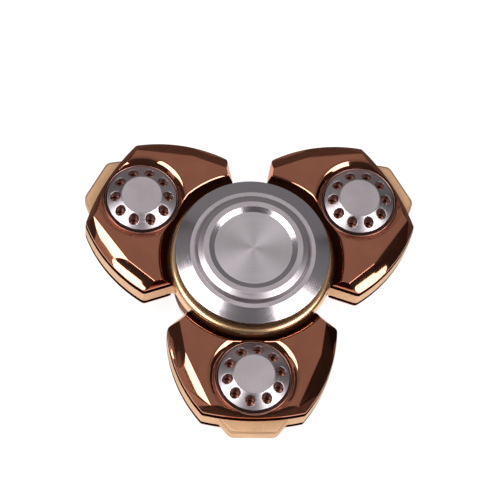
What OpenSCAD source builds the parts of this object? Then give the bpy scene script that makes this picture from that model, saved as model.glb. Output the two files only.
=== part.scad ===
// Three-armed fidget spinner: two turned finger caps on a ball bearing, a gold frame between copper
// covers, and a pair of small dials that turn in each arm.
// Millimetres, +Z up. The origin is on the spin axis, in the plane that the lower cap rests on.
// Shapes are drawn about the middle plane of the bearing and lifted by half the overall height.

/* [Bearing] */
// Outside diameter of the centre bearing
bearing_od = 22; // [20:0.5:24]
// Bore of the centre bearing
bearing_bore = 8; // [7:0.5:8.5]
// Width of the centre bearing
bearing_w = 7; // [6.5:0.1:8]
// Diameter of one ball
ball_d = 3.969; // [3.5:0.001:4.1]
// Number of balls
ball_count = 7; // [5:1:8]
// Space between a ball and its raceway
raceway_gap = 0.06; // [0.03:0.01:0.1]
// Height of a raceway's shoulder above its floor
shoulder_h = 0.55; // [0.4:0.05:0.7]
// Thickness of the cage from inside to outside
cage_w = 1.2; // [0.8:0.1:1.5]
// Space between a ball and its pocket
pocket_gap = 0.1; // [0.05:0.01:0.2]
// Metal left in the cage above and below a pocket
cage_bridge = 0.35; // [0.25:0.05:0.45]
// Thickness of a shield
shield_t = 0.3; // [0.2:0.05:0.4]
// Depth of a shield below the bearing's face
shield_inset = 0.25; // [0.15:0.05:0.35]
// Depth of a shield's seat in the outer ring
shield_seat = 0.5; // [0.3:0.05:0.7]
// Gap between a shield and the inner ring
shield_gap = 0.25; // [0.15:0.05:0.4]

/* [Hub] */
// Frame metal round the bearing
hub_wall = 4; // [3.6:0.1:4.8]
// Metal of the clamp ring round the bearing
ring_wall = 5.2; // [4.9:0.1:6]
// Thickness of the lips that hold the bearing, above and below
lip_t = 1; // [0.8:0.05:2.6]
// Overlap of the lips on the outer ring
lip_w = 1; // [0.6:0.1:1.3]
// Metal of the clamp ring's threaded skirt round the bearing
skirt_wall = 2.2; // [1.5:0.1:3]
// Depth of the skirt in the frame
skirt_h = 2.4; // [1.5:0.1:3.2]
// Rounding of the clamp ring's upper edge
ring_round = 1.2; // [0.2:0.05:1.5]
// Height of the chamfer under the hub
hub_chamfer_h = 2.4; // [1.5:0.1:2.6]
// Width of the chamfer under the hub
hub_chamfer_w = 1.6; // [0.5:0.1:2]

/* [Finger caps] */
// Diameter of a cap over its rim
cap_d = 30; // [28:0.1:32]
// Gap between a cap and the hub
cap_gap = 2; // [0.3:0.05:2.6]
// Height of the straight rim
cap_rim_h = 0.64; // [0.4:0.02:1]
// Rise of the outer cone
cap_cone_h = 1.05; // [0.6:0.05:1.6]
// Outer diameter of the flat ledge inside the cone
cap_ledge_d = 24.3; // [23:0.1:26]
// Diameter of the raised pad at its foot
cap_pad_d = 22.6; // [20.8:0.1:23]
// Draft of the pad's side, in width
cap_pad_draft = 0.5; // [0.2:0.02:0.7]
// Height of the pad's side
cap_pad_h = 0.83; // [0.5:0.01:1.2]
// Rise of the pad's sloping shoulder
cap_slope_h = 0.48; // [0.3:0.02:0.8]
// Outer diameter of the flat ring on the pad
cap_ring_d = 19.2; // [18:0.1:20]
// Diameter of the finger dish at its edge
cap_dish_d = 17.1; // [16:0.1:18]
// Diameter of the dish's turned floor
cap_floor_d = 15; // [13:0.1:16]
// Depth of the dish
cap_dish_depth = 0.45; // [0.2:0.01:0.7]
// Metal of the boss that bears on the inner ring
boss_wall = 1.6; // [1.2:0.1:1.8]
// Clearance of a cap's stem in the bearing
cap_stem_clearance = 0.01; // [0.01:0.01:0.05]
// Space between the ends of the two stems
stem_end_space = 0.2; // [0.1:0.05:0.6]
// Diameter of the stud that joins the caps
stud_d = 5; // [4:0.5:5.5]
// Length of the stud
stud_l = 12; // [9:0.5:13]
// Space past each end of the stud
stud_end_space = 0.3; // [0.1:0.1:0.8]
// Chamfer on the stud's ends
stud_chamfer = 0.5; // [0.2:0.1:0.8]
// Socket in the stud, across its flats
stud_socket = 2.5; // [2:0.5:2.5]
// Depth of the stud's socket
stud_socket_h = 2.5; // [1.5:0.5:3]

/* [Dials] */
// Diameter of a dial's flat centre
dial_flat_d = 7.92; // [7:0.02:9]
// Width of the cone round the flat
dial_cone_w = 2.85; // [2.6:0.05:3.2]
// Rise of the cone
dial_rise = 1.5; // [1:0.1:2]
// Height of the dial's straight edge
dial_edge_h = 1.55; // [1:0.05:2]
// Number of finger holes
hole_count = 10; // [6:1:11]
// Diameter of a finger hole
hole_d = 1.9; // [1.4:0.1:2]
// Metal between a finger hole and the dial's edge
hole_edge = 0.66; // [0.4:0.02:0.8]
// Direction of one finger hole on the front, left and right dial
dial_turn = [8.7, 0.9, 0.3]; // [0:0.1:36]
// Running gap round a dial
dial_gap = 0.14; // [0.1:0.01:0.3]
// Space under a dial
dial_lift = 0.3; // [0.2:0.05:0.5]
// Play of a dial along its stem
dial_play = 0.1; // [0.05:0.01:0.15]
// Diameter of a dial's stem
dial_stem_d = 3; // [2:0.1:4]
// Depth of the stem in a dial
stem_seat = 1.8; // [1.2:0.1:2]
// Space past the stem's end
stem_seat_space = 0.1; // [0.05:0.05:0.2]
// Running clearance of the stem in its bush
stem_clearance = 0.04; // [0.02:0.01:0.08]
// Wall of the bush
bush_wall = 1.1; // [0.8:0.1:1.6]

/* [Cups] */
// Wall of a cup's bead rim
cup_wall = 0.65; // [0.5:0.05:0.9]
// Thickness of a cup's floor
cup_floor_t = 0.8; // [0.5:0.05:1]
// Height of the bead above the floor
cup_rim_h = 1.65; // [1.2:0.05:2]

/* [Arms] */
// Space between the clamp ring and a cup
cup_to_ring = 0.89; // [0.6:0.01:2]
// Metal between a cup and the arm's end
end_wall = 0.45; // [0.2:0.05:1.5]
// Bulge of the arm's end
end_bulge = 1.1; // [0.5:0.1:2]
// Metal beside a cup at the arm's tip
tip_wall = 2.22; // [1.6:0.02:3]
// Reach of the arm's widest place past the side of the clamp ring
widest_over_ring = 0.28; // [-0.5:0.02:0.8]
// Distance from the dial's axis back to the widest place
widest_back = 11.19; // [10:0.01:12]
// Half angle between the arm's shoulders
shoulder_angle = 48.5; // [45:0.5:51]
// Rounding of the arm's corners
corner_round = 0.8; // [0.4:0.1:1.6]
// Rounding of the necks between arms and hub
neck_round = 2; // [0.8:0.1:2.6]
// Thickness of the frame's arms
band_t = 3.5; // [3:0.1:5]
// Reach of the end tab beyond the arm
tab_reach = 2.35; // [1.5:0.05:4]
// Thickness of the end tab
tab_t = 3.2; // [1.8:0.1:3.4]
// Half width of the tab at its tip
tab_tip_half_w = 4.45; // [3:0.05:5]
// Growth of the tab's half width from its tip to the arm
tab_taper = 1.85; // [1:0.05:2.5]
// Chamfer round the tab's edges
tab_chamfer = 0.4; // [0.2:0.05:0.7]

/* [Covers] */
// Height of a cover's straight side
side_h = 1.5; // [0.8:0.05:2]
// Height of the bevel
bevel_h = 1.55; // [1:0.05:2]
// Width of the bevel at the arm's end
bevel_end = 2.05; // [1.4:0.05:2.4]
// Width of the bevel beside the tip
bevel_tip = 1.56; // [1:0.02:2]
// Width of the bevel at the knee of the top face
bevel_knee = 2.74; // [2:0.02:3.2]
// Width of the bevel at the widest place
bevel_widest = 2.38; // [1.8:0.02:2.8]
// Width of the bevel along the shoulders
bevel_shoulder = 0.8; // [0.5:0.05:1.2]
// Distance from the dial's axis back to the knee
knee_back = 4.69; // [3:0.01:6]
// Gap between a cover and the clamp ring
cover_gap = 0.1; // [0.05:0.01:0.3]
// Width of the trough's floor beside the clamp ring
trough_floor_w = 0.15; // [0.1:0.05:0.9]
// Width of the trough at the top face
trough_w = 1.85; // [1.5:0.05:2.2]
// Metal left under the trough
trough_t = 1.25; // [0.6:0.05:1.5]
// Width of the countersink round a cup
sink_w = 1.4; // [1:0.05:1.7]
// Depth of the countersink
sink_h = 0.75; // [0.5:0.05:1]
// Diameter of the pegs that hold a cover in the frame
peg_d = 2; // [1.4:0.1:2.6]
// Length of the pegs
peg_h = 1.2; // [0.8:0.1:1.4]
// Space past the end of a peg
peg_end_space = 0.1; // [0.05:0.05:0.2]
// Distance from the dial's axis back to the pegs
peg_back = 6; // [4:0.1:7]
// Distance from a cup's wall out to the middle of a peg
peg_out = 3.7; // [3:0.1:4.5]

/* [Hidden] */
$fn = 96;
ARMS = ["front", "left", "right"];
ARM_ANGLES = [270, 150, 30];
SIDES = ["upper", "lower"];
ARM_PIECES = ["cover", "cup", "dial"];

// A thin slab that only carries an outline into a hull
slab_t = 0.02;
// Far enough to cut past any face
past = 1;

// Bearing
bearing_r = bearing_od / 2;
bore_r = bearing_bore / 2;
half_w = bearing_w / 2;
ball_r = ball_d / 2;
pitch_r = (bearing_r + bore_r) / 2;
groove_r = ball_r + raceway_gap;
inner_ring_r = pitch_r - groove_r + shoulder_h;
outer_ring_r = pitch_r + groove_r - shoulder_h;
shield_r = outer_ring_r + shield_seat;
shield_top = half_w - shield_inset;
cage_half_h = ball_r + pocket_gap + cage_bridge;

// Hub
hub_r = bearing_r + hub_wall;
ring_r = bearing_r + ring_wall;
skirt_r = bearing_r + skirt_wall;
lip_r = bearing_r - lip_w;
hub_top = half_w + lip_t;
band_top = band_t / 2;

// Finger caps
cap_under = hub_top + cap_gap;
cap_rim_z = cap_under + cap_rim_h;
cap_ledge_z = cap_rim_z + cap_cone_h;
cap_pad_z = cap_ledge_z + cap_pad_h;
cap_top = cap_pad_z + cap_slope_h;
boss_r = bore_r + boss_wall;
stud_r = stud_d / 2;
rest_height = cap_top;

// Dials and cups
dial_flat_r = dial_flat_d / 2;
dial_r = dial_flat_r + dial_cone_w;
hole_circle_r = dial_r - hole_edge - hole_d / 2;
cup_inner_r = dial_r + dial_gap;
cup_r = cup_inner_r + cup_wall;
cup_floor_z = band_top + cup_floor_t;
cup_top = cup_floor_z + cup_rim_h;
dial_under = cup_floor_z + dial_lift;
dial_rim_z = dial_under + dial_edge_h;
dial_top = dial_rim_z + dial_rise;
dial_stem_r = dial_stem_d / 2;
bush_bore_r = dial_stem_r + stem_clearance;
bush_r = bush_bore_r + bush_wall;
bush_end = dial_under - dial_play;

// Arms, along +X: u is out from the hub, v is across
dial_u = ring_r + cup_to_ring + cup_r;
end_u = dial_u + cup_r + end_wall;
tip_u = end_u - end_bulge;
tip_half_w = cup_r + tip_wall;
widest_u = dial_u - widest_back;
widest_half_w = ring_r + widest_over_ring;
flare = widest_half_w - tip_half_w;
end_round_r = (tip_half_w ^ 2 + end_bulge ^ 2) / (2 * end_bulge);
side_round_r = ((tip_u - widest_u) ^ 2 + flare ^ 2) / (2 * flare);
knee_u = dial_u - knee_back;
tab_tip_u = end_u + tab_reach;
// Longer than any arm
far = 2 * tab_tip_u;

// Covers
cover_top = band_top + side_h + bevel_h;
cover_inner_r = ring_r + cover_gap;
trough_z = band_top + trough_t;
peg_u = dial_u - peg_back;
peg_v = cup_r + peg_out;

// Half width of the arm's side arc at a place along the arm
function side_v(u) = widest_half_w - side_round_r + sqrt(side_round_r ^ 2 - (u - widest_u) ^ 2);

// Lifts what is drawn about the bearing's middle plane to its place above the rest plane
module lifted() {
    translate([0, 0, rest_height]) children();
}

// Puts a shape drawn along +X on one arm
module on_arm(i) {
    rotate(ARM_ANGLES[i]) children();
}

// Moves a shape drawn about +Z to an arm's dial axis
module on_dial_axis(i) {
    on_arm(i) translate([dial_u, 0, 0]) children();
}

// Turns an upper piece into its lower twin
module on_side(side) {
    mirror([0, 0, side == "lower" ? 1 : 0]) children();
}

// A wedge between the arm's shoulders with its point at u
module wedge(u) {
    reach_u = u + far * cos(shoulder_angle);
    reach_v = far * sin(shoulder_angle);
    polygon([[u, 0], [reach_u, -reach_v], [reach_u, reach_v]]);
}

// Plan of one arm: two side arcs, a bulged end and two straight shoulders, with rounded corners
module arm_plan() {
    offset(r = corner_round) offset(delta = -corner_round) intersection() {
        wedge(0);
        translate([end_u - end_round_r, 0]) circle(end_round_r);
        translate([widest_u, widest_half_w - side_round_r]) circle(side_round_r);
        translate([widest_u, side_round_r - widest_half_w]) circle(side_round_r);
    }
}

// Plan of a cover's flat top face: the arm's plan drawn in by the bevel, with a knee in each side
module top_plan() {
    face_end_u = end_u - bevel_end;
    face_tip_v = tip_half_w - bevel_tip;
    face_knee_v = side_v(knee_u) - bevel_knee;
    face_widest_v = widest_half_w - bevel_widest;
    rise = (face_widest_v - face_knee_v) / (knee_u - widest_u);
    face_back_v = face_widest_v + rise * widest_u;
    half = [[face_end_u, face_tip_v], [knee_u, face_knee_v], [0, face_back_v]];
    other_half = [for (i = [len(half) - 1:-1:0]) [half[i][0], -half[i][1]]];
    intersection() {
        wedge(bevel_shoulder / sin(shoulder_angle));
        polygon(concat(half, other_half));
    }
}

// Positions of the two pegs of a cover
module at_pegs() {
    for (v = [-peg_v, peg_v]) translate([peg_u, v, 0]) children();
}

// A ring cut from a profile that is drawn as [radius, height] points
module turned(profile) {
    rotate_extrude() polygon(profile);
}

// One finger cap, as the upper one stands
module finger_cap() {
    stem_r = bore_r - cap_stem_clearance;
    stem_end = stem_end_space / 2;
    color("gainsboro") difference() {
        turned([
            [0, stem_end],
            [stem_r, stem_end],
            [stem_r, half_w],
            [boss_r, half_w],
            [boss_r, cap_under],
            [cap_d / 2, cap_under],
            [cap_d / 2, cap_rim_z],
            [cap_ledge_d / 2, cap_ledge_z],
            [cap_pad_d / 2, cap_ledge_z],
            [cap_pad_d / 2 - cap_pad_draft, cap_pad_z],
            [cap_ring_d / 2, cap_top],
            [cap_dish_d / 2, cap_top],
            [cap_floor_d / 2, cap_top - cap_dish_depth],
            [0, cap_top - cap_dish_depth]
        ]);
        cylinder(r = stud_r, h = stud_l / 2 + stud_end_space);
    }
}

module upper_cap() {
    lifted() finger_cap();
}

module lower_cap() {
    lifted() on_side("lower") finger_cap();
}

// Threaded stud, drawn plain, that joins the two caps inside the bearing
module axle_stud() {
    socket_r = stud_socket / 2 / cos(30);
    color("dimgray") lifted() difference() {
        turned([
            [0, -stud_l / 2],
            [stud_r - stud_chamfer, -stud_l / 2],
            [stud_r, stud_chamfer - stud_l / 2],
            [stud_r, stud_l / 2 - stud_chamfer],
            [stud_r - stud_chamfer, stud_l / 2],
            [0, stud_l / 2]
        ]);
        translate([0, 0, stud_l / 2 - stud_socket_h]) cylinder(r = socket_r, h = stud_socket_h + past, $fn = 6);
    }
}

// One slice of an arm's end tab, drawn in by inset and rooted inside the arm
module tab_slice(inset, height) {
    root_u = dial_u + cup_inner_r;
    tip_u = tab_tip_u - inset;
    tip_v = tab_tip_half_w - inset;
    root_v = tip_v + tab_taper * (tab_tip_u - root_u) / tab_reach;
    translate([0, 0, -height / 2]) linear_extrude(height)
        polygon([[root_u, -root_v], [tip_u, -tip_v], [tip_u, tip_v], [root_u, root_v]]);
}

// End tab of one arm: a tapered plate with chamfered edges
module end_tab() {
    hull() {
        tab_slice(0, tab_t - 2 * tab_chamfer);
        tab_slice(tab_chamfer, tab_t);
    }
}

// Gold frame: three arms and a hub that holds the bearing from below and outside
module spider_frame() {
    color("tan") lifted() difference() {
        union() {
            translate([0, 0, -band_top]) linear_extrude(band_t)
                offset(r = -neck_round) offset(r = neck_round) {
                    circle(hub_r);
                    for (i = [0:len(ARMS) - 1]) on_arm(i) arm_plan();
                }
            turned([
                [0, -hub_top],
                [hub_r - hub_chamfer_w, -hub_top],
                [hub_r, hub_chamfer_h - hub_top],
                [hub_r, band_top],
                [0, band_top]
            ]);
            for (i = [0:len(ARMS) - 1]) on_arm(i) end_tab();
        }
        translate([0, 0, -half_w]) cylinder(r = bearing_r, h = bearing_w);
        translate([0, 0, -hub_top - past]) cylinder(r = lip_r, h = hub_top + past);
        translate([0, 0, band_top - skirt_h]) cylinder(r = skirt_r, h = skirt_h + past);
        for (i = [0:len(ARMS) - 1]) {
            on_dial_axis(i) translate([0, 0, -band_top - past]) cylinder(r = bush_r, h = band_t + 2 * past);
            for (side = SIDES) on_side(side) on_arm(i) at_pegs()
                translate([0, 0, band_top - peg_h - peg_end_space])
                    cylinder(r = peg_d / 2, h = peg_h + peg_end_space + past);
        }
    }
}

// Gold ring that screws into the frame and holds the bearing from above; its thread is drawn plain
module bearing_clamp_ring() {
    corner_r = ring_r - ring_round;
    corner_z = hub_top - ring_round;
    color("goldenrod") lifted() rotate_extrude() {
        polygon([
            [bearing_r, band_top - skirt_h],
            [skirt_r, band_top - skirt_h],
            [skirt_r, band_top],
            [ring_r, band_top],
            [ring_r, corner_z],
            [corner_r, corner_z],
            [corner_r, hub_top],
            [lip_r, hub_top],
            [lip_r, half_w],
            [bearing_r, half_w]
        ]);
        translate([corner_r, corner_z]) circle(ring_round);
    }
}

// Raceway groove that both rings share
module groove() {
    translate([pitch_r, 0]) circle(groove_r);
}

module bearing_outer_ring() {
    seat_h = half_w - (shield_top - shield_t);
    color("silver") lifted() rotate_extrude() difference() {
        translate([outer_ring_r, -half_w]) square([bearing_r - outer_ring_r, bearing_w]);
        groove();
        for (z = [-half_w, half_w - seat_h])
            translate([outer_ring_r, z]) square([shield_r - outer_ring_r, seat_h]);
    }
}

module bearing_inner_ring() {
    color("silver") lifted() rotate_extrude() difference() {
        translate([bore_r, -half_w]) square([inner_ring_r - bore_r, bearing_w]);
        groove();
    }
}

// Places something at each ball
module at_balls() {
    for (i = [0:ball_count - 1]) rotate(360 * i / ball_count) translate([pitch_r, 0, 0]) children();
}

module bearing_balls() {
    color("whitesmoke") lifted() at_balls() sphere(ball_r);
}

// Cage: one band drilled from outside for each ball
module bearing_cage() {
    color("khaki") lifted() difference() {
        rotate_extrude() translate([pitch_r - cage_w / 2, -cage_half_h]) square([cage_w, 2 * cage_half_h]);
        at_balls() rotate([0, 90, 0]) cylinder(r = ball_r + pocket_gap, h = cage_w + 2 * past, center = true);
    }
}

module bearing_shield(side) {
    color("darkgray") lifted() on_side(side) rotate_extrude()
        translate([inner_ring_r + shield_gap, shield_top - shield_t])
            square([shield_r - inner_ring_r - shield_gap, shield_t]);
}

module upper_bearing_shield() {
    bearing_shield("upper");
}

module lower_bearing_shield() {
    bearing_shield("lower");
}

// Copper cover of one arm: flat top, bevelled round, with a trough beside the hub, a countersink round
// the dial's cup and two pegs that press into the frame
module arm_cover(side, i) {
    color("saddlebrown") lifted() on_side(side) on_arm(i) difference() {
        union() {
            hull() {
                translate([0, 0, band_top]) linear_extrude(side_h) arm_plan();
                translate([0, 0, cover_top - slab_t]) linear_extrude(slab_t) top_plan();
            }
            at_pegs() translate([0, 0, band_top - peg_h]) cylinder(r = peg_d / 2, h = peg_h + side_h);
        }
        translate([0, 0, band_top - past]) cylinder(r = cover_inner_r, h = cover_top + past);
        turned([
            [0, trough_z],
            [cover_inner_r + trough_floor_w, trough_z],
            [ring_r + trough_w, cover_top],
            [ring_r + trough_w, cover_top + past],
            [0, cover_top + past]
        ]);
        translate([dial_u, 0, 0]) {
            translate([0, 0, band_top - past]) cylinder(r = cup_r, h = cover_top + past);
            turned([
                [0, cover_top - sink_h],
                [cup_r, cover_top - sink_h],
                [cup_r + sink_w, cover_top],
                [cup_r + sink_w, cover_top + past],
                [0, cover_top + past]
            ]);
        }
    }
}

// Copper cup that a dial sits in, with a round bead for its rim
module dial_cup(side, i) {
    bead_r = cup_wall / 2;
    color("peru") lifted() on_side(side) on_dial_axis(i) rotate_extrude() {
        polygon([
            [bush_r, band_top],
            [cup_r, band_top],
            [cup_r, cup_top - bead_r],
            [cup_inner_r, cup_top - bead_r],
            [cup_inner_r, cup_floor_z],
            [bush_r, cup_floor_z]
        ]);
        translate([cup_r - bead_r, cup_top - bead_r]) circle(bead_r);
    }
}

// Steel dial: flat centre, cone with finger holes, and a blind seat for the stem
module finger_dial(side, i) {
    color("lightgray") lifted() on_side(side) on_dial_axis(i) difference() {
        turned([
            [0, dial_under],
            [dial_r, dial_under],
            [dial_r, dial_rim_z],
            [dial_flat_r, dial_top],
            [0, dial_top]
        ]);
        translate([0, 0, dial_under - past]) cylinder(r = dial_stem_r, h = past + stem_seat + stem_seat_space);
        for (k = [0:hole_count - 1])
            rotate(dial_turn[i] - ARM_ANGLES[i] + 360 * k / hole_count)
                translate([hole_circle_r, 0, dial_under - past])
                    cylinder(r = hole_d / 2, h = dial_top - dial_under + 2 * past);
    }
}

// Shaft that joins an arm's two dials
module dial_stem(i) {
    stem_half = dial_under + stem_seat;
    color("gray") lifted() on_dial_axis(i) translate([0, 0, -stem_half])
        cylinder(r = dial_stem_r, h = 2 * stem_half);
}

// Plain bearing of a dial's stem, pressed through the frame and both cups
module dial_bush(i) {
    color("darkgoldenrod") lifted() on_dial_axis(i) difference() {
        translate([0, 0, -bush_end]) cylinder(r = bush_r, h = 2 * bush_end);
        translate([0, 0, -bush_end - past]) cylinder(r = bush_bore_r, h = 2 * (bush_end + past));
    }
}

upper_cap();
lower_cap();
axle_stud();
spider_frame();
bearing_clamp_ring();
bearing_outer_ring();
bearing_inner_ring();
bearing_balls();
bearing_cage();
upper_bearing_shield();
lower_bearing_shield();
for (i = [0:len(ARMS) - 1]) {
    for (side = SIDES) {
        arm_cover(side, i);
        dial_cup(side, i);
        finger_dial(side, i);
    }
    dial_stem(i);
    dial_bush(i);
}
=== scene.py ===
import math

import bpy
import numpy as np
from mathutils import Matrix, Vector


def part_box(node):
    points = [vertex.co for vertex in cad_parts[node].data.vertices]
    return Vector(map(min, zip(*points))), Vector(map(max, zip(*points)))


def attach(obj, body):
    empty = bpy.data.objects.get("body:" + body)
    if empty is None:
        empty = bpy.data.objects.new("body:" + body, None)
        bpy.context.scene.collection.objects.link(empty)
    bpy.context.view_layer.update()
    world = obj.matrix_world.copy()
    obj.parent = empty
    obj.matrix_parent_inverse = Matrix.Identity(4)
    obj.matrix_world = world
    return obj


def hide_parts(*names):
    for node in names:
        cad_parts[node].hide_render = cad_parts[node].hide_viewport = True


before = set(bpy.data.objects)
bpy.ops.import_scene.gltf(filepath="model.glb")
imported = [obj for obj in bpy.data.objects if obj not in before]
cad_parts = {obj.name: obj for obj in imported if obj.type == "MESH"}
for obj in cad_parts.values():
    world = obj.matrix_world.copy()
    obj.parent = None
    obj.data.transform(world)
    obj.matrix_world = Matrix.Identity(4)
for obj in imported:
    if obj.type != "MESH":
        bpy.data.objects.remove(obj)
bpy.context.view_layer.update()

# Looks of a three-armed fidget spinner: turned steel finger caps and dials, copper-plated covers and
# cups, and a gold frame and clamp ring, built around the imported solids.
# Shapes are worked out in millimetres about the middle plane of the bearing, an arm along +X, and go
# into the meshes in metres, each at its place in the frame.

MM = 0.001
TURN = 2 * math.pi
ARM_ANGLE = {"front": math.radians(270), "left": math.radians(150), "right": math.radians(30)}
SIDES = ("upper", "lower")
# Height of the bearing's middle plane above the plane that the lower cap rests on
MID_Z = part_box("upper_cap")[1].z / MM / 2
# Points closer than this, in millimetres, are one point
WELD = 1e-4
# Columns of a turned piece
SPIN = 288
# A mesh edge that turns by more than this stays sharp
SHARP = math.radians(35)
# Radius of an eased edge, out of sight and in sight
HIDDEN_EASE, SEEN_EASE = 0.05, 0.1

# Hub and caps
CAP_R = 15.0
RING_R = 16.2
HUB_R = 15.0
HUB_TOP = 4.5
RING_ROUND = 1.2
BAND_TOP = 1.75
BEARING_R = 11.0
LIP_R = 10.0
SKIRT_R = 13.2
SKIRT_FOOT = -0.65
BEARING_HALF = 3.5
HUB_CHAMFER_R, HUB_CHAMFER_Z = 1.6, 2.4
HUB_EASE = 0.15

# Dials and cups, about the dial's axis
DIAL_U = 24.69
DIAL_R = 6.81
DIAL_FLAT_R = 3.96
DIAL_TOP = 5.9
DIAL_RIM_Z = 4.4
DIAL_UNDER = 2.85
DIAL_SLOPE = (DIAL_TOP - DIAL_RIM_Z) / (DIAL_R - DIAL_FLAT_R)
HOLES = 10
HOLE_R = 0.95
HOLE_CIRCLE_R = 5.2
STEM_R = 1.5
STEM_TOP = 4.75
DIAL_TURN = {"front": math.radians(8.7), "left": math.radians(0.9), "right": math.radians(0.3)}
CUP_R = 7.6
CUP_INNER_R = 6.95
CUP_FLOOR_Z = 2.55
CUP_TOP = 4.2
BUSH_R = 2.64

# Arm outline: u runs out from the hub, v across
END_U = 32.74
TIP_U, TIP_V = 31.64, 9.82
WIDE_U, WIDE_V = 13.5, 16.475
SHOULDER = math.radians(48.5)
CORNER_R = 0.8
NECK_R = 2.0
END_R = (TIP_V ** 2 + (END_U - TIP_U) ** 2) / (2 * (END_U - TIP_U))
SIDE_R = ((TIP_U - WIDE_U) ** 2 + (WIDE_V - TIP_V) ** 2) / (2 * (WIDE_V - TIP_V))

# Covers
COVER_TOP = 4.8
SIDE_TOP = 3.25
COVER_INNER_R = 16.3
FACE_END_U, FACE_TIP_V = 30.69, 8.26
KNEE_U, KNEE_V = 20.0, 12.98
FACE_WIDE_V = 14.1
FACE_SHOULDER = 0.8
TROUGH_Z = 3.0
TROUGH_FLOOR_R = 16.45
TROUGH_EDGE_R = 18.05
SINK_R = 9.0
SINK_Z = 4.05
BORE_R = CUP_R + 0.02
# Crown of the bevel, by direction from the arm's length in degrees, and of the countersink: 0 is a
# straight slope, more bulges out, less is hollow
BEVEL_CROWN = [(0, 0.12), (30, 0.12), (56, 0.15), (70, 0.15),
               (78, -0.35), (95, -0.35), (138, 0.0), (180, 0.0)]
SINK_CROWN = 0.6
# How far the bevel and the countersink are followed past the top face's edge, in widths of the slope
BEVEL_RUN, SINK_RUN = 1.3, 1.2
# Easing, in height, where the top face meets the bevel, the countersink and the trough, where the
# surface meets the side wall, and at the foot of the trough
FACE_EASE, SINK_EASE, TROUGH_EASE, SIDE_EASE, TROUGH_FOOT_EASE = 0.06, 0.10, 0.35, 0.6, 0.4
# The side wall's foot above the band, and its rise for each millimetre in from the outline
WALL_FOOT, WALL_RISE = 0.06, 20.0


def linear(hexa):
    """Linear RGBA of an sRGB hex colour."""
    srgb = np.array([int(hexa[i:i + 2], 16) for i in (1, 3, 5)]) / 255
    rgb = np.where(srgb <= 0.04045, srgb / 12.92, ((srgb + 0.055) / 1.055) ** 2.4)
    return (*rgb, 1.0)


def add(tree, kind, inputs=(), **settings):
    """Adds a node, with its settings, and sets or links each named input."""
    node = tree.nodes.new(kind)
    for name, value in settings.items():
        setattr(node, name, value)
    for name, value in dict(inputs).items():
        if isinstance(value, bpy.types.NodeSocket):
            tree.links.new(value, node.inputs[name])
        else:
            node.inputs[name].default_value = value
    return node


def new_material(name):
    """An empty node material and its output."""
    material = bpy.data.materials.new(name)
    material.use_nodes = True
    material.node_tree.nodes.clear()
    return material, material.node_tree, add(material.node_tree, "ShaderNodeOutputMaterial")


def per_metre(size_mm):
    """Noise scale on Object coordinates, in metres, that gives features of this size."""
    return 1 / (size_mm * MM)


def shaded(colour, share):
    """A linear colour made darker or lighter by a share."""
    return (*(channel * share for channel in linear(colour)[:3]), 1.0)


def cast_metal(name, colour, roughness, grain_mm, bump_mm, ripple_mm=1.6, edge="#FFFFFF"):
    """Metal whose roughness wanders by a fifth over its grain and whose tone wanders by a few hundredths
    over some millimetres, under a shallow ripple. Edge is the tint of its shine at a glancing angle."""
    material, tree, output = new_material(name)
    place = add(tree, "ShaderNodeTexCoord").outputs["Object"]
    grain = add(tree, "ShaderNodeTexNoise", {"Vector": place, "Scale": per_metre(grain_mm), "Detail": 4.0})
    wander = add(tree, "ShaderNodeMapRange", {
        "Value": grain.outputs["Fac"], "From Min": 0.3, "From Max": 0.7,
        "To Min": roughness * 0.8, "To Max": roughness * 1.2})
    ripple = add(tree, "ShaderNodeTexNoise", {"Vector": place, "Scale": per_metre(ripple_mm), "Detail": 2.0})
    bump = add(tree, "ShaderNodeBump", {
        "Height": ripple.outputs["Fac"], "Strength": 1.0, "Distance": bump_mm * MM})
    cloud_mm = 5.0
    cloud = add(tree, "ShaderNodeTexNoise", {"Vector": place, "Scale": per_metre(cloud_mm), "Detail": 3.0})
    tone = add(tree, "ShaderNodeValToRGB", {"Fac": cloud.outputs["Fac"]})
    for element, at, share in zip(tone.color_ramp.elements, (0.35, 0.65), (0.94, 1.05)):
        element.position = at
        element.color = shaded(colour, share)
    shader = add(tree, "ShaderNodeBsdfPrincipled", {
        "Base Color": tone.outputs["Color"], "Metallic": 1.0, "Roughness": wander.outputs["Result"],
        "Specular Tint": linear(edge), "Normal": bump.outputs["Normal"]})
    tree.links.new(shader.outputs["BSDF"], output.inputs["Surface"])
    return material


def lathe_metal(name, colour, roughness, anisotropy, pitch_mm, bump_mm):
    """Metal with rings left by a lathe tool: the rings follow the piece's own distance from its axis,
    and the shine is stretched across them."""
    material, tree, output = new_material(name)
    radius = add(tree, "ShaderNodeAttribute", attribute_name="turned_radius_mm").outputs["Fac"]
    rings = add(tree, "ShaderNodeTexNoise", {"W": radius, "Scale": 1 / pitch_mm, "Detail": 2.0},
                noise_dimensions="1D")
    bump = add(tree, "ShaderNodeBump", {
        "Height": rings.outputs["Fac"], "Strength": 1.0, "Distance": bump_mm * MM})
    wander = add(tree, "ShaderNodeMapRange", {
        "Value": rings.outputs["Fac"], "From Min": 0.3, "From Max": 0.7,
        "To Min": roughness * 0.85, "To Max": roughness * 1.15})
    tangent = add(tree, "ShaderNodeTangent", direction_type="RADIAL", axis="Z")
    shader = add(tree, "ShaderNodeBsdfPrincipled", {
        "Base Color": linear(colour), "Metallic": 1.0, "Roughness": wander.outputs["Result"],
        "Anisotropic": anisotropy, "Anisotropic Rotation": 0.25,
        "Normal": bump.outputs["Normal"], "Tangent": tangent.outputs["Tangent"]})
    tree.links.new(shader.outputs["BSDF"], output.inputs["Surface"])
    return material


# Brown copper plate on polished casting: a mirror with a slight orange peel.
COPPER = cast_metal("polished_copper_plate", "#DB8D70", 0.06, 3.0, 0.0002)
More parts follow.
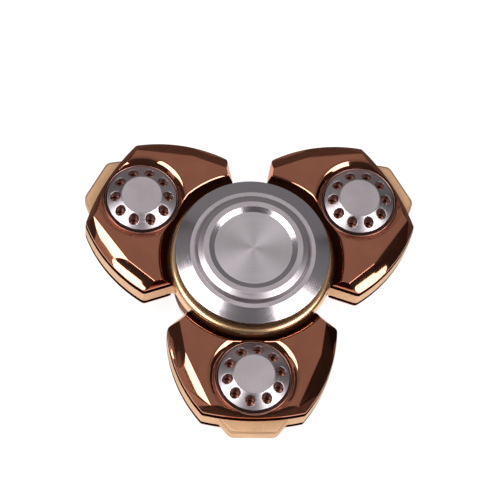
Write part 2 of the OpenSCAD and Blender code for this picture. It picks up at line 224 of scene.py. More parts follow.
# The same plate, made dull and painted dark: painted shade in the trough by the clamp ring and in the cups, and
# on the side walls a painted reflection of the shadow under the arms. Its shine at a glancing angle is as dark
# as its colour.
PAINTED_SHADE_COPPER = cast_metal("copper_plate_painted_shade", "#40231B", 0.38, 0.4, 0.0006, 0.6, edge="#40231B")
# Copper plate of the cup beads, brushed in a lathe: softer than the mirror. Its browner, darker colour is
# painted shade of the narrow groove between the dial and the countersink.
BEAD_PAINTED_SHADE = cast_metal("bead_copper_painted_shade", "#B4877A", 0.40, 1.2, 0.0001, edge="#B4877A")
# Copper plate of the cup floors, painted darker than the mirror: painted shade at the bottom of the dials'
# holes. Its shine at a glancing angle is as dark as its colour.
CUP_FLOOR_PAINTED_SHADE = cast_metal("cup_floor_copper_painted_shade", "#8E5C4A", 0.22, 0.8, 0.0003, edge="#8E5C4A")
# Champagne-gold plate of the frame, over a blasted surface: satin, with a fine grain. The grit's marks
# are about 0.1 mm, drawn at 0.35 mm so that they show.
CHAMPAGNE = cast_metal("satin_champagne_gold", "#F4CBA4", 0.66, 0.35, 0.0002, 0.5)
# Yellow-gold plate of the clamp ring, polished on the lathe: a soft band of light along the ring. The
# polishing marks are finer than 0.05 mm, drawn at 0.25 mm so that they show.
YELLOW_GOLD = lathe_metal("polished_yellow_gold", "#F4C698", 0.27, 0.3, 0.25, 0.00005)
# Turned stainless steel of the caps' cones: bright, with fine rings. The tool feed is about 0.05 mm,
# drawn at 0.35 mm so that the rings show.
TURNED_STEEL = lathe_metal("turned_stainless_steel", "#C9C0C5", 0.18, 0.15, 0.35, 0.00004)
# The same steel finished with emery cloth, on the slope of the pad and the dials' cones: a wider shine,
# over rings drawn at the same size.
EMERY_STEEL = lathe_metal("emery_finished_steel", "#C9C0C5", 0.36, 0.15, 0.35, 0.00004)
# The same steel faced off in the finger dish: dull, with a fan of light. The feed is about 0.1 mm, drawn
# at 0.3 mm and deeper so that the rings show.
FACED_STEEL = lathe_metal("faced_stainless_steel", "#D4CCD0", 0.56, 0.55, 0.3, 0.0001)
# The same steel, satin-blasted, on the flat rings and the dials' centres: even and matt. The grit's
# marks are about 0.1 mm, drawn at 0.25 mm so that they show.
SATIN_STEEL = cast_metal("satin_stainless_steel", "#CBC2C6", 0.62, 0.25, 0.0003, 0.3)
# Hidden pieces: bright ground rings and balls, a grey pressed cage and shields, dark blacked shafts,
# and porous brown bushes.
BEARING_STEEL = cast_metal("ground_bearing_steel", "#C6C8CA", 0.18, 0.6, 0.0003)
PRESSED_STEEL = cast_metal("pressed_steel_sheet", "#B4B4B2", 0.32, 0.5, 0.0010)
STUD_STEEL = cast_metal("black_oxide_steel", "#5A5857", 0.42, 0.4, 0.0012)
BRONZE = cast_metal("sintered_bronze", "#B08A55", 0.45, 0.2, 0.0020, 0.2)


def unit(vectors):
    """Vectors scaled to length 1."""
    return vectors / np.linalg.norm(vectors, axis=-1, keepdims=True)


def softened(corners, radius, closed=False, steps=5):
    """Path through 2-D corners with an arc in each: the arc's centre lies on the corner's bisector at
    radius / sin(half the corner's angle). One more point past each end of an arc keeps the faces
    beside it flat. An open path keeps its two end points."""
    here = np.asarray(corners, float)
    radius = np.broadcast_to(radius, len(here)).astype(float)[:, None]
    back, ahead = unit(np.roll(here, 1, 0) - here), unit(np.roll(here, -1, 0) - here)
    half = np.arccos(np.clip((back * ahead).sum(1, keepdims=True), -1, 1)) / 2
    cut = radius / np.tan(half)
    centre = here + unit(back + ahead) * radius / np.sin(half)
    start, end = here + back * cut - centre, here + ahead * cut - centre
    sweep = (math.pi - 2 * half)[:, None]
    t = np.linspace(0, 1, steps + 1)[None, :, None]
    arcs = (np.sin((1 - t) * sweep) * start[:, None] + np.sin(t * sweep) * end[:, None]) / np.sin(sweep)
    past = 0.4 * radius
    path = np.concatenate([(here + back * (cut + past))[:, None], centre[:, None] + arcs,
                           (here + ahead * (cut + past))[:, None]], axis=1)
    if closed:
        return path.reshape(-1, 2)
    return np.concatenate([here[:1], path[1:-1].reshape(-1, 2), here[-1:]])


def skin(loops, closed=False, finish=0):
    """Quads between neighbouring loops of points, each loop closed on itself. loops is an array of
    rows x columns x 3. Closed joins the last loop to the first."""
    rows, columns = loops.shape[:2]
    index = np.arange(rows * columns).reshape(rows, columns)
    low = index if closed else index[:-1]
    high = np.roll(index, -1, 0) if closed else index[1:]
    quads = np.stack([low, np.roll(low, -1, 1), np.roll(high, -1, 1), high], axis=-1).reshape(-1, 4)
    return loops.reshape(-1, 3), quads, np.full(len(quads), finish)


def spun(profile, closed=False, finish=0, columns=SPIN, start=0.0):
    """A profile of (radius, height) points carried round +Z: x = r cos t, y = r sin t, z = height."""
    t = start + np.arange(columns) * TURN / columns
    r, z = np.asarray(profile, float).T[:, :, None]
    return skin(np.stack([r * np.cos(t), r * np.sin(t), z + 0 * t], axis=-1), closed, finish)


def joined(patches):
    """Several patches as one, with points that fall together welded and collapsed faces left out."""
    counts = np.cumsum([0] + [len(points) for points, _, _ in patches])
    points = np.concatenate([points for points, _, _ in patches])
    quads = np.concatenate([quads + count for (_, quads, _), count in zip(patches, counts)])
    finish = np.concatenate([finish for _, _, finish in patches])
    _, first, place = np.unique(np.round(points / WELD).astype(np.int64), axis=0,
                                return_index=True, return_inverse=True)
    quads = place.reshape(-1)[quads]
    repeated = quads == np.roll(quads, -1, axis=1)
    whole, three = repeated.sum(1) == 0, repeated.sum(1) == 1
    triangles = quads[three][~repeated[three]].reshape(-1, 3)
    return points[first], quads[whole], triangles, np.concatenate([finish[whole], finish[three]])


def turned_by(points, angle, u=0.0):
    """Points moved out by u along +X and then turned about +Z."""
    x, y, z = (points + [u, 0, 0]).T
    cos, sin = math.cos(angle), math.sin(angle)
    return np.stack([x * cos - y * sin, x * sin + y * cos, z], 1)


def make_piece(node, body, patches, finishes, slot, side="upper", angle=0.0, u=0.0):
    """Puts patches, drawn for the upper side, at their place as the piece that stands for a CAD node. A
    lower piece is the upper one mirrored, with its faces turned round."""
    points, quads, triangles, finish = joined(patches)
    radius = np.hypot(points[:, 0], points[:, 1])
    if side == "lower":
        points = points * [1, 1, -1]
        quads, triangles = quads[:, ::-1], triangles[:, ::-1]
    points = (turned_by(points, angle, u) + [0, 0, MID_Z]) * MM
    mesh = bpy.data.meshes.new(node + "_skin")
    mesh.from_pydata(points.tolist(), [], quads.tolist() + triangles.tolist())
    for material in finishes:
        mesh.materials.append(material)
    mesh.polygons.foreach_set("material_index", finish.astype(np.int32))
    mesh.polygons.foreach_set("use_smooth", np.ones(len(mesh.polygons), bool))
    turned = mesh.attributes.new("turned_radius_mm", "FLOAT", "POINT")
    turned.data.foreach_set("value", radius.astype(np.float32))
    mesh.set_sharp_from_angle(angle=SHARP)
    mesh.update()
    piece = bpy.data.objects.new(node + "_skin", mesh)
    bpy.context.scene.collection.objects.link(piece)
    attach(piece, body)
    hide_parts(node)


def finger_cap():
    """The cap's turned profile with eased edges: the stud's socket, the boss in the bearing's bore, the
    shoulder on the inner ring, the underside and rim, then the cone, the ledge, the pad's slope, the
    flat ring and the dish. The dish floor, the flat rings and the pad's slope have their own finish."""
    socket_r, boss_r, shoulder_r = 2.5, 3.99, 5.6
    cone_r, ledge_r, pad_r, ring_r, dish_r, floor_r = 12.15, 11.3, 10.8, 9.6, 8.55, 7.5
    boss_z, socket_z, under_z, rim_z = 0.1, 6.3, 6.5, 7.14
    ledge_z, pad_z, top_z, floor_z = 8.19, 9.02, 9.5, 9.05
    hidden = [(0, socket_z), (socket_r, socket_z), (socket_r, boss_z), (boss_r, boss_z),
              (boss_r, BEARING_HALF), (shoulder_r, BEARING_HALF), (shoulder_r, under_z)]
    seen = [(CAP_R, under_z), (CAP_R, rim_z), (cone_r, ledge_z), (ledge_r, ledge_z),
            (pad_r, pad_z), (ring_r, top_z), (dish_r, top_z), (floor_r, floor_z)]
    seen_ease = [0.15, 0.1, 0.08, 0.06, 0.4, 0.08, 0.06, 0.06]
    body = softened(hidden + seen + [(0, floor_z)], [HIDDEN_EASE] * len(hidden) + seen_ease + [HIDDEN_EASE])
    radius, height = body.T
    level, margin = 0.001, 0.1
    faced = (np.abs(height - floor_z) < level) & (radius < floor_r)
    flat = (((np.abs(height - top_z) < level) & (radius < ring_r))
            | ((np.abs(height - ledge_z) < level) & (radius > ledge_r - margin)))
    slope = (height > ledge_z - level) & (radius > ring_r - margin) & (radius < ledge_r + margin)
    points, quads, _ = spun(body)
    kind = np.select([zone[:-1] & zone[1:] for zone in (faced, flat, slope)], [1, 2, 3])
    return [(points, quads, np.repeat(kind, SPIN))]


def clamp_ring():
    """The ring's closed profile: skirt in the frame, wall, rounded upper edge and the lip."""
    return [spun(softened([
        (BEARING_R, SKIRT_FOOT), (SKIRT_R, SKIRT_FOOT), (SKIRT_R, BAND_TOP), (RING_R, BAND_TOP),
        (RING_R, HUB_TOP), (LIP_R, HUB_TOP), (LIP_R, BEARING_HALF), (BEARING_R, BEARING_HALF)],
        [HIDDEN_EASE] * 3 + [SEEN_EASE, RING_ROUND, SEEN_EASE] + [HIDDEN_EASE] * 2,
        closed=True, steps=10), closed=True)]


def dial_cup():
    """The cup's closed profile: floor, wall and the half-round bead on top of the wall, each with its own
    finish, each darker than the mirror as painted shade in the cup's hollow. The bead's two arcs are a
    hair smaller than half the wall, so that they don't meet."""
    bead = (CUP_R - CUP_INNER_R) / 2
    bead_r, floor_fillet, floor_margin = 0.98 * bead, 0.15, 0.05
    profile = softened([
        (BUSH_R, BAND_TOP), (CUP_R, BAND_TOP), (CUP_R, CUP_TOP), (CUP_INNER_R, CUP_TOP),
        (CUP_INNER_R, CUP_FLOOR_Z), (BUSH_R, CUP_FLOOR_Z)],
        [HIDDEN_EASE, HIDDEN_EASE, bead_r, bead_r, floor_fillet, HIDDEN_EASE], closed=True, steps=10)
    points, quads, _ = spun(profile, closed=True)
    z = points[quads][:, :, 2].mean(1)
    kind = np.select([z < CUP_FLOOR_Z + floor_margin, z < CUP_TOP - 2 * bead], [0, 1], 2)
    return [(points, quads, kind)]


def dial_cone(r):
    """Height of the dial's cone at a distance from its axis."""
    return DIAL_RIM_Z + (DIAL_R - r) * DIAL_SLOPE


def finger_dial(turn):
    """Each hole sits in a tenth of the cone: rows run along straight lines from that sector's outline in
    to the hole's edge, over a small rounded lip, down the hole's wall and out again underneath. The
    centre and the rim are turned profiles that meet the sectors point for point."""
    low_r, high_r, per_side = 4.15, 6.55, 20
    lip, strip, wall_foot, under_ease = 0.13, 0.02, 0.1, 0.08
    half = math.pi / HOLES
    share = np.arange(per_side) / per_side
    across = half * (2 * share - 1)
    outline_r = np.concatenate([high_r + 0 * share, high_r + (low_r - high_r) * share,
                                low_r + 0 * share, low_r + (high_r - low_r) * share])
    outline_t = np.concatenate([across, half + 0 * share, -across, -half + 0 * share])
    reach = np.stack([outline_r * np.cos(outline_t) - HOLE_CIRCLE_R, outline_r * np.sin(outline_t)], 1)
    length = np.linalg.norm(reach, axis=1)
    way = reach / length[:, None]
    bend = np.linspace(0, math.pi / 2, 6)
    lip_out, lip_drop = HOLE_R + lip * (1 - np.sin(bend)), lip * (1 - np.cos(bend))
    inward = np.array([1.0, 0.7, 0.4, 0.15])[:, None]
    top = HOLE_R + lip + strip + (length - HOLE_R - lip - strip) * inward
    distance = np.concatenate([top, np.repeat(lip_out[:, None], len(length), 1),
                               np.full((2, len(length)), HOLE_R), [length]])
    x = HOLE_CIRCLE_R + distance * way[:, 0]
    y = distance * way[:, 1]
    z = dial_cone(np.hypot(x, y))
    wall = len(inward) + len(bend)
    z[len(inward):wall] -= lip_drop[:, None]
    z[wall:] = DIAL_UNDER
    z[wall] += wall_foot
    sector = np.stack([x, y, z], axis=-1)
    patches = []
    for k in range(HOLES):
        points, quads, finish = skin(sector)
        patches.append((turned_by(points, turn + k * TURN / HOLES), quads, finish))
    ring = {"columns": HOLES * per_side, "start": turn - half}
    crown = softened([(low_r, dial_cone(low_r)), (DIAL_FLAT_R, DIAL_TOP), (0, DIAL_TOP)], SEEN_EASE)
    patches.append(spun(crown[:-2], **ring))
    patches.append(spun(crown[-2:], finish=1, **ring))
    patches.append(spun(softened([(high_r, DIAL_UNDER), (DIAL_R, DIAL_UNDER), (DIAL_R, DIAL_RIM_Z),
                                  (high_r, dial_cone(high_r))], [0, under_ease, SEEN_EASE, 0]), **ring))
    patches.append(spun([(0, STEM_TOP), (STEM_R, STEM_TOP), (STEM_R, DIAL_UNDER),
                         (low_r, DIAL_UNDER)], **ring))
    return patches


# Directions in which a line touches the arm's outline and the top face
TOUCHES = 2880
TOUCH = np.arange(TOUCHES) * TURN / TOUCHES


def arm_depth(x, y):
    """How far a point, from the dial's axis, lies inside the arm's outline with sharp corners: the least
    of its distances to the end arc, the side arc and the shoulder."""
    u, v = x + DIAL_U, np.abs(y)
    end = END_R - np.hypot(u - END_U + END_R, v)
    side = SIDE_R - np.hypot(u - WIDE_U, v - WIDE_V + SIDE_R)
    shoulder = u * math.sin(SHOULDER) - v * math.cos(SHOULDER)
    return np.minimum(np.minimum(end, side), shoulder)


def support(x, y):
    """How far an outline reaches in each of the touching directions: the most of x cos t + y sin t."""
    return np.max(x[:, None] * np.cos(TOUCH) + y[:, None] * np.sin(TOUCH), axis=0)


def arm_support():
    """Reach of the arm's outline. The sharp outline, drawn in by the corner radius, is found along rays
    by halving, and the radius is then added back in every direction, which rounds the corners."""
    rays, beyond, halvings = 2400, 40.0, 40
    ray = np.linspace(-math.pi, math.pi, rays, endpoint=False)
    near, far = np.zeros_like(ray), np.full_like(ray, beyond)
    for _ in range(halvings):
        mid = (near + far) / 2
        inside = arm_depth(mid * np.cos(ray), mid * np.sin(ray)) > CORNER_R
        near, far = np.where(inside, mid, near), np.where(inside, far, mid)
    return support(near * np.cos(ray), near * np.sin(ray)) + CORNER_R


def face_support():
    """Reach of the cover's top face, a polygon with a knee in each side."""
    rise = (FACE_WIDE_V - KNEE_V) / (KNEE_U - WIDE_U)
    apex = FACE_SHOULDER / math.sin(SHOULDER)
    back_u = (KNEE_V + rise * KNEE_U + apex * math.tan(SHOULDER)) / (math.tan(SHOULDER) + rise)
    u = np.array([FACE_END_U, KNEE_U, back_u, apex])
    v = np.array([FACE_TIP_V, KNEE_V, KNEE_V + rise * (KNEE_U - back_u), 0.0])
    return support(np.tile(u - DIAL_U, 2), np.concatenate([v, -v]))


ARM_REACH = arm_support()
FACE_REACH = face_support()


def arm_edge(ray):
    """Distance from the dial's axis to the arm's outline along rays: the nearest touching line."""
    glancing = 0.01
    lean = np.cos(TOUCH[:, None] - ray)
    length = ARM_REACH[:, None] / np.maximum(lean, glancing)
    return np.min(np.where(lean > glancing, length, np.inf), axis=0)


def eased_min(a, b, size):
    """The lower of two heights, eased where they are less than size apart."""
    near = np.maximum(size - np.abs(a - b), 0) / size
    return np.minimum(a, b) - near ** 2 * size / 4


def trough_height(x, y):
    """Height of the trough beside the clamp ring: a level floor, then a cone that rises to the top face."""
    steep = (COVER_TOP - TROUGH_Z) / (TROUGH_EDGE_R - TROUGH_FLOOR_R)
    slope = TROUGH_Z + (np.hypot(x + DIAL_U, y) - TROUGH_FLOOR_R) * steep
    return -eased_min(-slope, np.full(x.shape, -TROUGH_Z), TROUGH_FOOT_EASE)


def cover_height(x, y, stride=1):
    """Height of a cover's upper surface at points from the dial's axis: the lowest of the top plane, the
    bevel, the countersink, the trough's slope and the side wall, with each edge eased. The bevel is the
    lowest of the slopes that touch both the arm's outline and the top face. A slope's crown bends it by
    a parabola, w (1 + crown (1 - w)). The countersink is a parabola too, steeper towards the cup."""
    bevel, inside = np.full(x.shape, np.inf), np.full(x.shape, np.inf)
    crown = np.interp(np.degrees(np.abs(np.arctan2(np.sin(TOUCH), np.cos(TOUCH)))), *zip(*BEVEL_CROWN))
    for t, arm, face, bend in zip(*(a[::stride] for a in (TOUCH, ARM_REACH, FACE_REACH, crown))):
        short = arm - x * math.cos(t) - y * math.sin(t)
        np.minimum(inside, short, out=inside)
        w = np.minimum(short / (arm - face), BEVEL_RUN)
        np.minimum(bevel, w * (1 + bend * (1 - w)), out=bevel)
    bevel = SIDE_TOP + (COVER_TOP - SIDE_TOP) * bevel
    out = np.minimum((np.hypot(x, y) - CUP_R) / (SINK_R - CUP_R), SINK_RUN)
    sink = SINK_Z + (COVER_TOP - SINK_Z) * out * (1 + SINK_CROWN * (1 - out))
    wall = BAND_TOP + WALL_FOOT + inside * WALL_RISE
    z = eased_min(eased_min(np.full(x.shape, COVER_TOP), bevel, FACE_EASE), sink, SINK_EASE)
    z = eased_min(z, trough_height(x, y), TROUGH_EASE)
    return eased_min(z, wall, SIDE_EASE)


def arm_cover():
    """The cover's section is carried round the dial's axis: underside, side wall, upper surface from the
    outline in to the bore, and the bore's wall. Spokes are spaced evenly along the outline, and points
    along a spoke by length and by turn of the surface, so that they crowd at the edges. The trough and
    the side wall get the dark copper of painted shade."""
    columns, rows, rays, samples, coarse = 640, 100, 8001, 300, 4
    # Millimetres of length that a radian counts for, of the spoke's direction and of the surface's turn
    direction_weight, bend_weight = 4.0, 1.2
    trough_margin, face_margin, side_margin = 0.1, 0.35, 0.2
    ray = np.linspace(-math.pi, math.pi, rays)
    toward = -DIAL_U * np.cos(ray)
    under_root = toward ** 2 - DIAL_U ** 2 + COVER_INNER_R ** 2
    hub = np.where((under_root > 0) & (toward > 0), toward - np.sqrt(np.maximum(under_root, 0)), np.inf)
    edge = np.minimum(arm_edge(ray), hub)
    run = np.hypot(np.diff(edge * np.cos(ray)), np.diff(edge * np.sin(ray))) + direction_weight * np.diff(ray)
    run = np.concatenate([[0], np.cumsum(run)])
    even = np.linspace(0, run[-1], columns, endpoint=False)
    spoke = np.interp(even, run, ray)
    edge = np.interp(even, run, edge)
    share = np.linspace(0, 1, samples)[:, None]
    s = BORE_R + (edge - BORE_R) * share
    z = cover_height(s * np.cos(spoke), s * np.sin(spoke), stride=coarse)
    lean = np.arctan2(np.diff(z, axis=0), np.diff(s, axis=0))
    bend = np.abs(np.diff(lean, axis=0, prepend=lean[:1]))
    step = np.hypot(np.diff(s, axis=0), np.diff(z, axis=0)) + bend_weight * bend
    travel = np.concatenate([np.zeros((1, columns)), np.cumsum(step, axis=0)])
    stop = np.linspace(0, 1, rows)
    s = np.stack([np.interp(stop * way[-1], way, at) for way, at in zip(travel.T, s.T)], 1)
    z = cover_height(s * np.cos(spoke), s * np.sin(spoke))
    s = np.concatenate([np.full((1, columns), BORE_R), edge[None], s[::-1]])
    z = np.concatenate([np.full((2, columns), BAND_TOP), z[::-1]])
    points, quads, _ = skin(np.stack([s * np.cos(spoke), s * np.sin(spoke), z], axis=-1), closed=True)
    x, y, z = points[quads].mean(1).T
    # Painted shade: the trough and the side wall below the bevel take the dark copper
    in_trough = (z > trough_height(x, y) - trough_margin) & (z < COVER_TOP - face_margin)
    return [(points, quads, np.where(in_trough | (z < SIDE_TOP - side_margin), 1, 0))]


def frame_outline():
    """One sixth of the frame's plan, from the middle of an arm's end to the middle of a gap: the arm's
    outline along rays from the dial's axis, the neck's fillet and the hub's arc. Returns radius and
    angle about the hub."""
    rays, arm_columns, neck_columns, hub_columns = 4001, 170, 14, 8
    along = math.sqrt((HUB_R + NECK_R) ** 2 - NECK_R ** 2)
    foot_x, foot_y = along * math.cos(SHOULDER), along * math.sin(SHOULDER)
    ray = np.linspace(0, math.pi, rays)
    edge = arm_edge(ray)
    x, y = edge * np.cos(ray), edge * np.sin(ray)
    run = np.concatenate([[0], np.cumsum(np.hypot(np.diff(x), np.diff(y)))])
    last = np.interp(math.atan2(foot_y, foot_x - DIAL_U), ray, run)
    even = np.linspace(0, last, arm_columns)
    x, y = np.interp(even, run, x) + DIAL_U, np.interp(even, run, y)
    neck_x, neck_y = foot_x - NECK_R * math.sin(SHOULDER), foot_y + NECK_R * math.cos(SHOULDER)
    neck_angle = math.atan2(neck_y, neck_x)
    bend = np.linspace(SHOULDER - math.pi / 2, neck_angle - math.pi, neck_columns)[1:]
    hub = np.linspace(neck_angle, TURN / 6, hub_columns)[1:]
    x = np.concatenate([x, neck_x + NECK_R * np.cos(bend), HUB_R * np.cos(hub)])
    y = np.concatenate([y, neck_y + NECK_R * np.sin(bend), HUB_R * np.sin(hub)])
    return np.hypot(x, y), np.arctan2(y, x)


def spider_frame():
    """Loops round the whole frame, carried over its section: bore, upper face, eased edge, side band,
    eased edge, lower face, hub wall and chamfer, lip and bearing seat. The shoulders run straight out
    from the hub's axis, so on the hub's circles their columns are spread by a small angle for each
    millimetre out, which grows in over the arm's middle. Each arm's end tab is a tapered plate with an
    eased chamfer, rooted in the band."""
    spread, spread_angle, ease, ease_steps = 0.0018, 0.35, 0.12, 5
    r, angle = frame_outline()
    r = np.concatenate([r[:0:-1], r[:-1]])
    angle = np.concatenate([-angle[:0:-1], angle[:-1]])
    fade = np.clip((r - HUB_R) / NECK_R, 0, 1)
    grow = np.sign(angle) * np.minimum(np.abs(angle) / spread_angle, 1)
    circle = angle - grow * spread * (r - HUB_R)
    thirds = np.repeat(np.arange(3) * TURN / 3, len(r)) + math.pi / 6
    r, fade = np.tile(r, 3), np.tile(fade, 3)
    angle, circle = np.tile(angle, 3) + thirds, np.tile(circle, 3) + thirds
    bend = np.linspace(0, math.pi / 2, ease_steps)
    inset, drop = ease * (1 - np.sin(bend)), ease * (1 - np.cos(bend))
    edge = [(cut * fade, BAND_TOP - down) for cut, down in zip(inset, drop)] + [(0 * fade, BAND_TOP - 2 * ease)]
    band = edge + [(cut, -z) for cut, z in edge[::-1]]
    loops = [np.stack([(r - cut) * np.cos(angle), (r - cut) * np.sin(angle), z + 0 * r], 1)
             for cut, z in band]
    hub = softened([(HUB_R, -BAND_TOP), (HUB_R, HUB_CHAMFER_Z - HUB_TOP), (HUB_R - HUB_CHAMFER_R, -HUB_TOP),
                    (LIP_R, -HUB_TOP), (LIP_R, -BEARING_HALF), (BEARING_R, -BEARING_HALF),
                    (BEARING_R, SKIRT_FOOT), (SKIRT_R, SKIRT_FOOT), (SKIRT_R, BAND_TOP)], HUB_EASE)
    loops += [np.stack([at * np.cos(circle), at * np.sin(circle), z + 0 * r], 1) for at, z in hub]
    patches = [skin(np.array(loops)[::-1], closed=True)]
    for arm_angle in ARM_ANGLE.values():
        points, quads, finish = end_tab()
        patches.append((turned_by(points, arm_angle), quads, finish))
    return patches


def end_tab():
    """The tab's plan, drawn in along a chamfered section, from a centre point below to one above. It
    widens by taper over its reach, from the tip to the root inside the band."""
    tip_u, tip_v, reach, taper, root_u = 35.09, 4.45, 2.35, 1.85, 31.64
    half_t, chamfer, land, section_ease, corner_r = 1.6, 0.4, 0.6, 0.25, 1.8
    root_v = tip_v + taper * (tip_u - root_u) / reach
    section = softened([(chamfer + land, -half_t), (chamfer, -half_t), (0, chamfer - half_t),
                        (0, half_t - chamfer), (chamfer, half_t), (chamfer + land, half_t)], section_ease)
    loops = []
    for inset, z in section:
        plan = softened([(root_u, -root_v + inset), (tip_u - inset, -tip_v + inset),
                         (tip_u - inset, tip_v - inset), (root_u, root_v - inset)],
                        [HIDDEN_EASE, corner_r, corner_r, HIDDEN_EASE], closed=True)
        loops.append(np.column_stack([plan, np.full(len(plan), z)]))
    middle = np.array([(tip_u + root_u) / 2, 0, 0])
    below = np.tile(middle + [0, 0, -half_t], (len(loops[0]), 1))
    above = np.tile(middle + [0, 0, half_t], (len(loops[0]), 1))
    return skin(np.array([below, *loops, above]))


cap = finger_cap()
cap_finishes = [TURNED_STEEL, FACED_STEEL, SATIN_STEEL, EMERY_STEEL]
for side in SIDES:
    make_piece(side + "_cap", "grip", cap, cap_finishes, "turned_steel", side)
make_piece("bearing_clamp_ring", "rotor", clamp_ring(), [YELLOW_GOLD], "yellow_gold")
make_piece("spider_frame", "rotor", spider_frame(), [CHAMPAGNE], "champagne_gold")
cover, cup = arm_cover(), dial_cup()
# The cup's floor, wall and bead finishes are darker copper: painted shade
cup_finishes = [CUP_FLOOR_PAINTED_SHADE, PAINTED_SHADE_COPPER, BEAD_PAINTED_SHADE]
for arm, arm_angle in ARM_ANGLE.items():
    dial = finger_dial(DIAL_TURN[arm] - arm_angle)
    for side in SIDES:
        at = {"side": side, "angle": arm_angle, "u": DIAL_U}
        make_piece(f"{side}_cover_{arm}", "rotor", cover, [COPPER, PAINTED_SHADE_COPPER], "copper_mirror", **at)
        make_piece(f"{side}_cup_{arm}", "rotor", cup, cup_finishes, "copper_mirror", **at)
        make_piece(f"{side}_dial_{arm}", arm + "_dials", dial, [EMERY_STEEL, SATIN_STEEL], "turned_steel", **at)

# Pieces that stay as their solids
HIDDEN = {"axle_stud": STUD_STEEL, "bearing_outer_ring": BEARING_STEEL, "bearing_inner_ring": BEARING_STEEL,
          "bearing_balls": BEARING_STEEL, "bearing_cage": PRESSED_STEEL, "upper_bearing_shield": PRESSED_STEEL,
          "lower_bearing_shield": PRESSED_STEEL}
HIDDEN.update({"dial_stem_" + arm: STUD_STEEL for arm in ARM_ANGLE})
HIDDEN.update({"dial_bush_" + arm: BRONZE for arm in ARM_ANGLE})
for node, material in HIDDEN.items():
    for material_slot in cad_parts[node].material_slots:
        material_slot.material = material


def white_floor():
    """White paper: lit by itself to the eye and in the metal, and dimmed a little by the object's shadow.
    Seen from below it isn't there."""
    own_light, strength = 0.75, 1.2
    material, tree, output = new_material("white_paper")
    path = add(tree, "ShaderNodeLightPath")
    seen = add(tree, "ShaderNodeMath", {0: path.outputs["Is Camera Ray"], 1: path.outputs["Is Glossy Ray"]},
               operation="MAXIMUM")
    share = add(tree, "ShaderNodeMath", {0: seen.outputs[0], 1: own_light}, operation="MULTIPLY")
    paper = add(tree, "ShaderNodeBsdfDiffuse", {"Color": linear("#F8F8F8")})
    glow = add(tree, "ShaderNodeEmission", {"Color": (1, 1, 1, 1), "Strength": strength})
    lit = add(tree, "ShaderNodeMixShader", {0: share.outputs[0], 1: paper.outputs[0], 2: glow.outputs[0]})
    clear = add(tree, "ShaderNodeBsdfTransparent")
    back = add(tree, "ShaderNodeNewGeometry").outputs["Backfacing"]
    both = add(tree, "ShaderNodeMixShader", {0: back, 1: lit.outputs[0], 2: clear.outputs[0]})
    tree.links.new(both.outputs[0], output.inputs["Surface"])
    return material


# Half the floor's width, in metres
FLOOR_HALF = 3.0
mesh = bpy.data.meshes.new("floor")
mesh.from_pydata([(-FLOOR_HALF, -FLOOR_HALF, 0), (FLOOR_HALF, -FLOOR_HALF, 0), (FLOOR_HALF, FLOOR_HALF, 0),
                  (-FLOOR_HALF, FLOOR_HALF, 0)], [], [(0, 1, 2, 3)])
mesh.materials.append(white_floor())
floor = bpy.data.objects.new("floor", mesh)
bpy.context.scene.collection.objects.link(floor)

# Studio: a dim room, lightest above and behind the object. A stop of the ramp is how nearly a direction
# agrees with the lightest one, and how light it is there.
LIGHTEST = (0, 0.6, 0.8)
ROOM_STOPS = [(0.0, 0.04), (0.48, 0.05), (0.6, 0.23), (0.85, 0.23), (0.97, 0.31)]
world = bpy.data.worlds.new("studio")
bpy.context.scene.world = world
world.use_nodes = True
world.node_tree.nodes.clear()
direction = add(world.node_tree, "ShaderNodeTexCoord").outputs["Generated"]
toward = add(world.node_tree, "ShaderNodeVectorMath", {0: direction, 1: LIGHTEST}, operation="DOT_PRODUCT")
ramp = add(world.node_tree, "ShaderNodeValToRGB", {"Fac": toward.outputs["Value"]})
while len(ramp.color_ramp.elements) < len(ROOM_STOPS):
    ramp.color_ramp.elements.new(0.5)
for element, (at, grey) in zip(ramp.color_ramp.elements, ROOM_STOPS):
    element.position = at
    element.color = (grey, grey, grey, 1)
sky = add(world.node_tree, "ShaderNodeBackground", {"Color": ramp.outputs["Color"], "Strength": 1.0})
add(world.node_tree, "ShaderNodeOutputWorld", {"Surface": sky.outputs[0]})


# Height of the soft boxes, in metres
BOX_Z = 0.8


def softbox(name, centre, size, turn, radiance):
    """A flat light that faces down at BOX_Z. Its centre and size are given as shares of that height. Its
    power is its radiance times four times its area."""
    lamp = bpy.data.lights.new(name, "AREA")
    lamp.shape = "RECTANGLE"
    lamp.size, lamp.size_y = (BOX_Z * side for side in size)
    lamp.energy = radiance * 4 * lamp.size * lamp.size_y
    light = bpy.data.objects.new(name, lamp)
    light.location = (centre[0] * BOX_Z, centre[1] * BOX_Z, BOX_Z)
    light.rotation_euler.z = math.radians(turn)
    bpy.context.scene.collection.objects.link(light)


softbox("left_softbox", (-0.672, -0.137), (0.75, 0.635), -20, 4.4)
softbox("right_softbox", (0.74, -0.459), (0.69, 0.74), 19, 4.4)


# Distance of the cards from the axis, in metres
CARD_R = 0.12


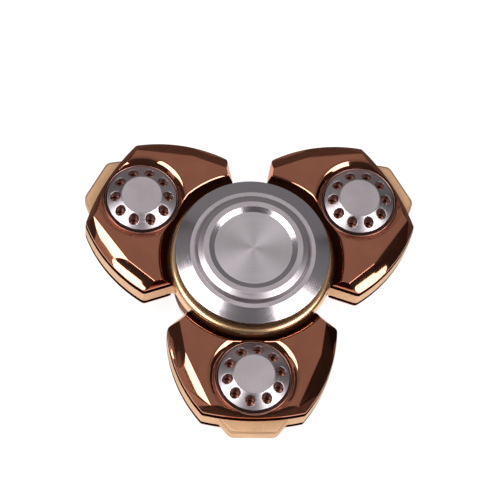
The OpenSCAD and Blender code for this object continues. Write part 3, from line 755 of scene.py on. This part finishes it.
def card(name, colour, start, end, height, foot):
    """A curved card round the object, seen only in the metal, as cards out of the frame shape the
    reflections in a product photograph: x = r cos t, y = r sin t, from start to end in degrees. It
    stands at CARD_R, and its foot reaches in along the floor to a radius. Lengths are in metres."""
    columns, lift = 97, 0.0001
    t = np.radians(np.linspace(start, end, columns))
    section = [(foot, lift), (CARD_R, lift), (CARD_R, height)]
    points = np.concatenate([np.stack([r * np.cos(t), r * np.sin(t), z + 0 * t], 1) for r, z in section])
    k = np.arange(columns - 1)
    k = np.concatenate([k, k + columns])
    material, tree, output = new_material(name)
    paper = add(tree, "ShaderNodeBsdfDiffuse", {"Color": linear(colour)})
    tree.links.new(paper.outputs[0], output.inputs["Surface"])
    mesh = bpy.data.meshes.new(name)
    mesh.from_pydata(points.tolist(), [], np.stack([k, k + columns, k + columns + 1, k + 1], 1).tolist())
    mesh.materials.append(material)
    sheet = bpy.data.objects.new(name, mesh)
    sheet.visible_camera = sheet.visible_diffuse = sheet.visible_shadow = False
    sheet.visible_transmission = False
    bpy.context.scene.collection.objects.link(sheet)


card("left_pale_card", "#CCC8C6", 183, 199, 0.108, 0.10)
card("left_low_card", "#E8E4E2", 199, 214, 0.082, 0.10)
card("front_grey_card", "#6A6664", 214, 338, 0.055, 0.10)
card("right_low_card", "#3A3736", 338, 348, 0.092, 0.10)
card("right_dark_card", "#3A3736", 348, 365, 0.128, 0.10)
card("back_grey_card", "#6A6664", 0, 180, 0.04, 0.048)
card("left_black_card", "#4E4A49", 128, 178, 0.105, 0.119)
card("right_black_card", "#201E1E", 5, 36, 0.095, 0.119)

# Camera, found from the rims of the cap and the dials in the photograph
TARGET = Vector((-0.0002414, 0.0019199, 0.0130))
DISTANCE = 0.45
ELEVATION, AZIMUTH, ROLL = (math.radians(a) for a in (66.0663, -10.0634, 9.9483))
level = math.cos(ELEVATION)
back = Vector((math.sin(AZIMUTH) * level, -math.cos(AZIMUTH) * level, math.sin(ELEVATION)))
across = Vector((0, 0, 1)).cross(back).normalized()
upward = back.cross(across)
right = math.cos(ROLL) * across + math.sin(ROLL) * upward
above = -math.sin(ROLL) * across + math.cos(ROLL) * upward
camera = bpy.data.objects.new("camera", bpy.data.cameras.new("camera"))
camera.data.sensor_width = 36
camera.data.lens = 166.27
place = TARGET + DISTANCE * back
camera.matrix_world = Matrix([[right.x, above.x, back.x, place.x], [right.y, above.y, back.y, place.y],
                              [right.z, above.z, back.z, place.z], [0, 0, 0, 1]])
bpy.context.scene.collection.objects.link(camera)
bpy.context.scene.camera = camera
bpy.context.scene.view_settings.view_transform = "Standard"
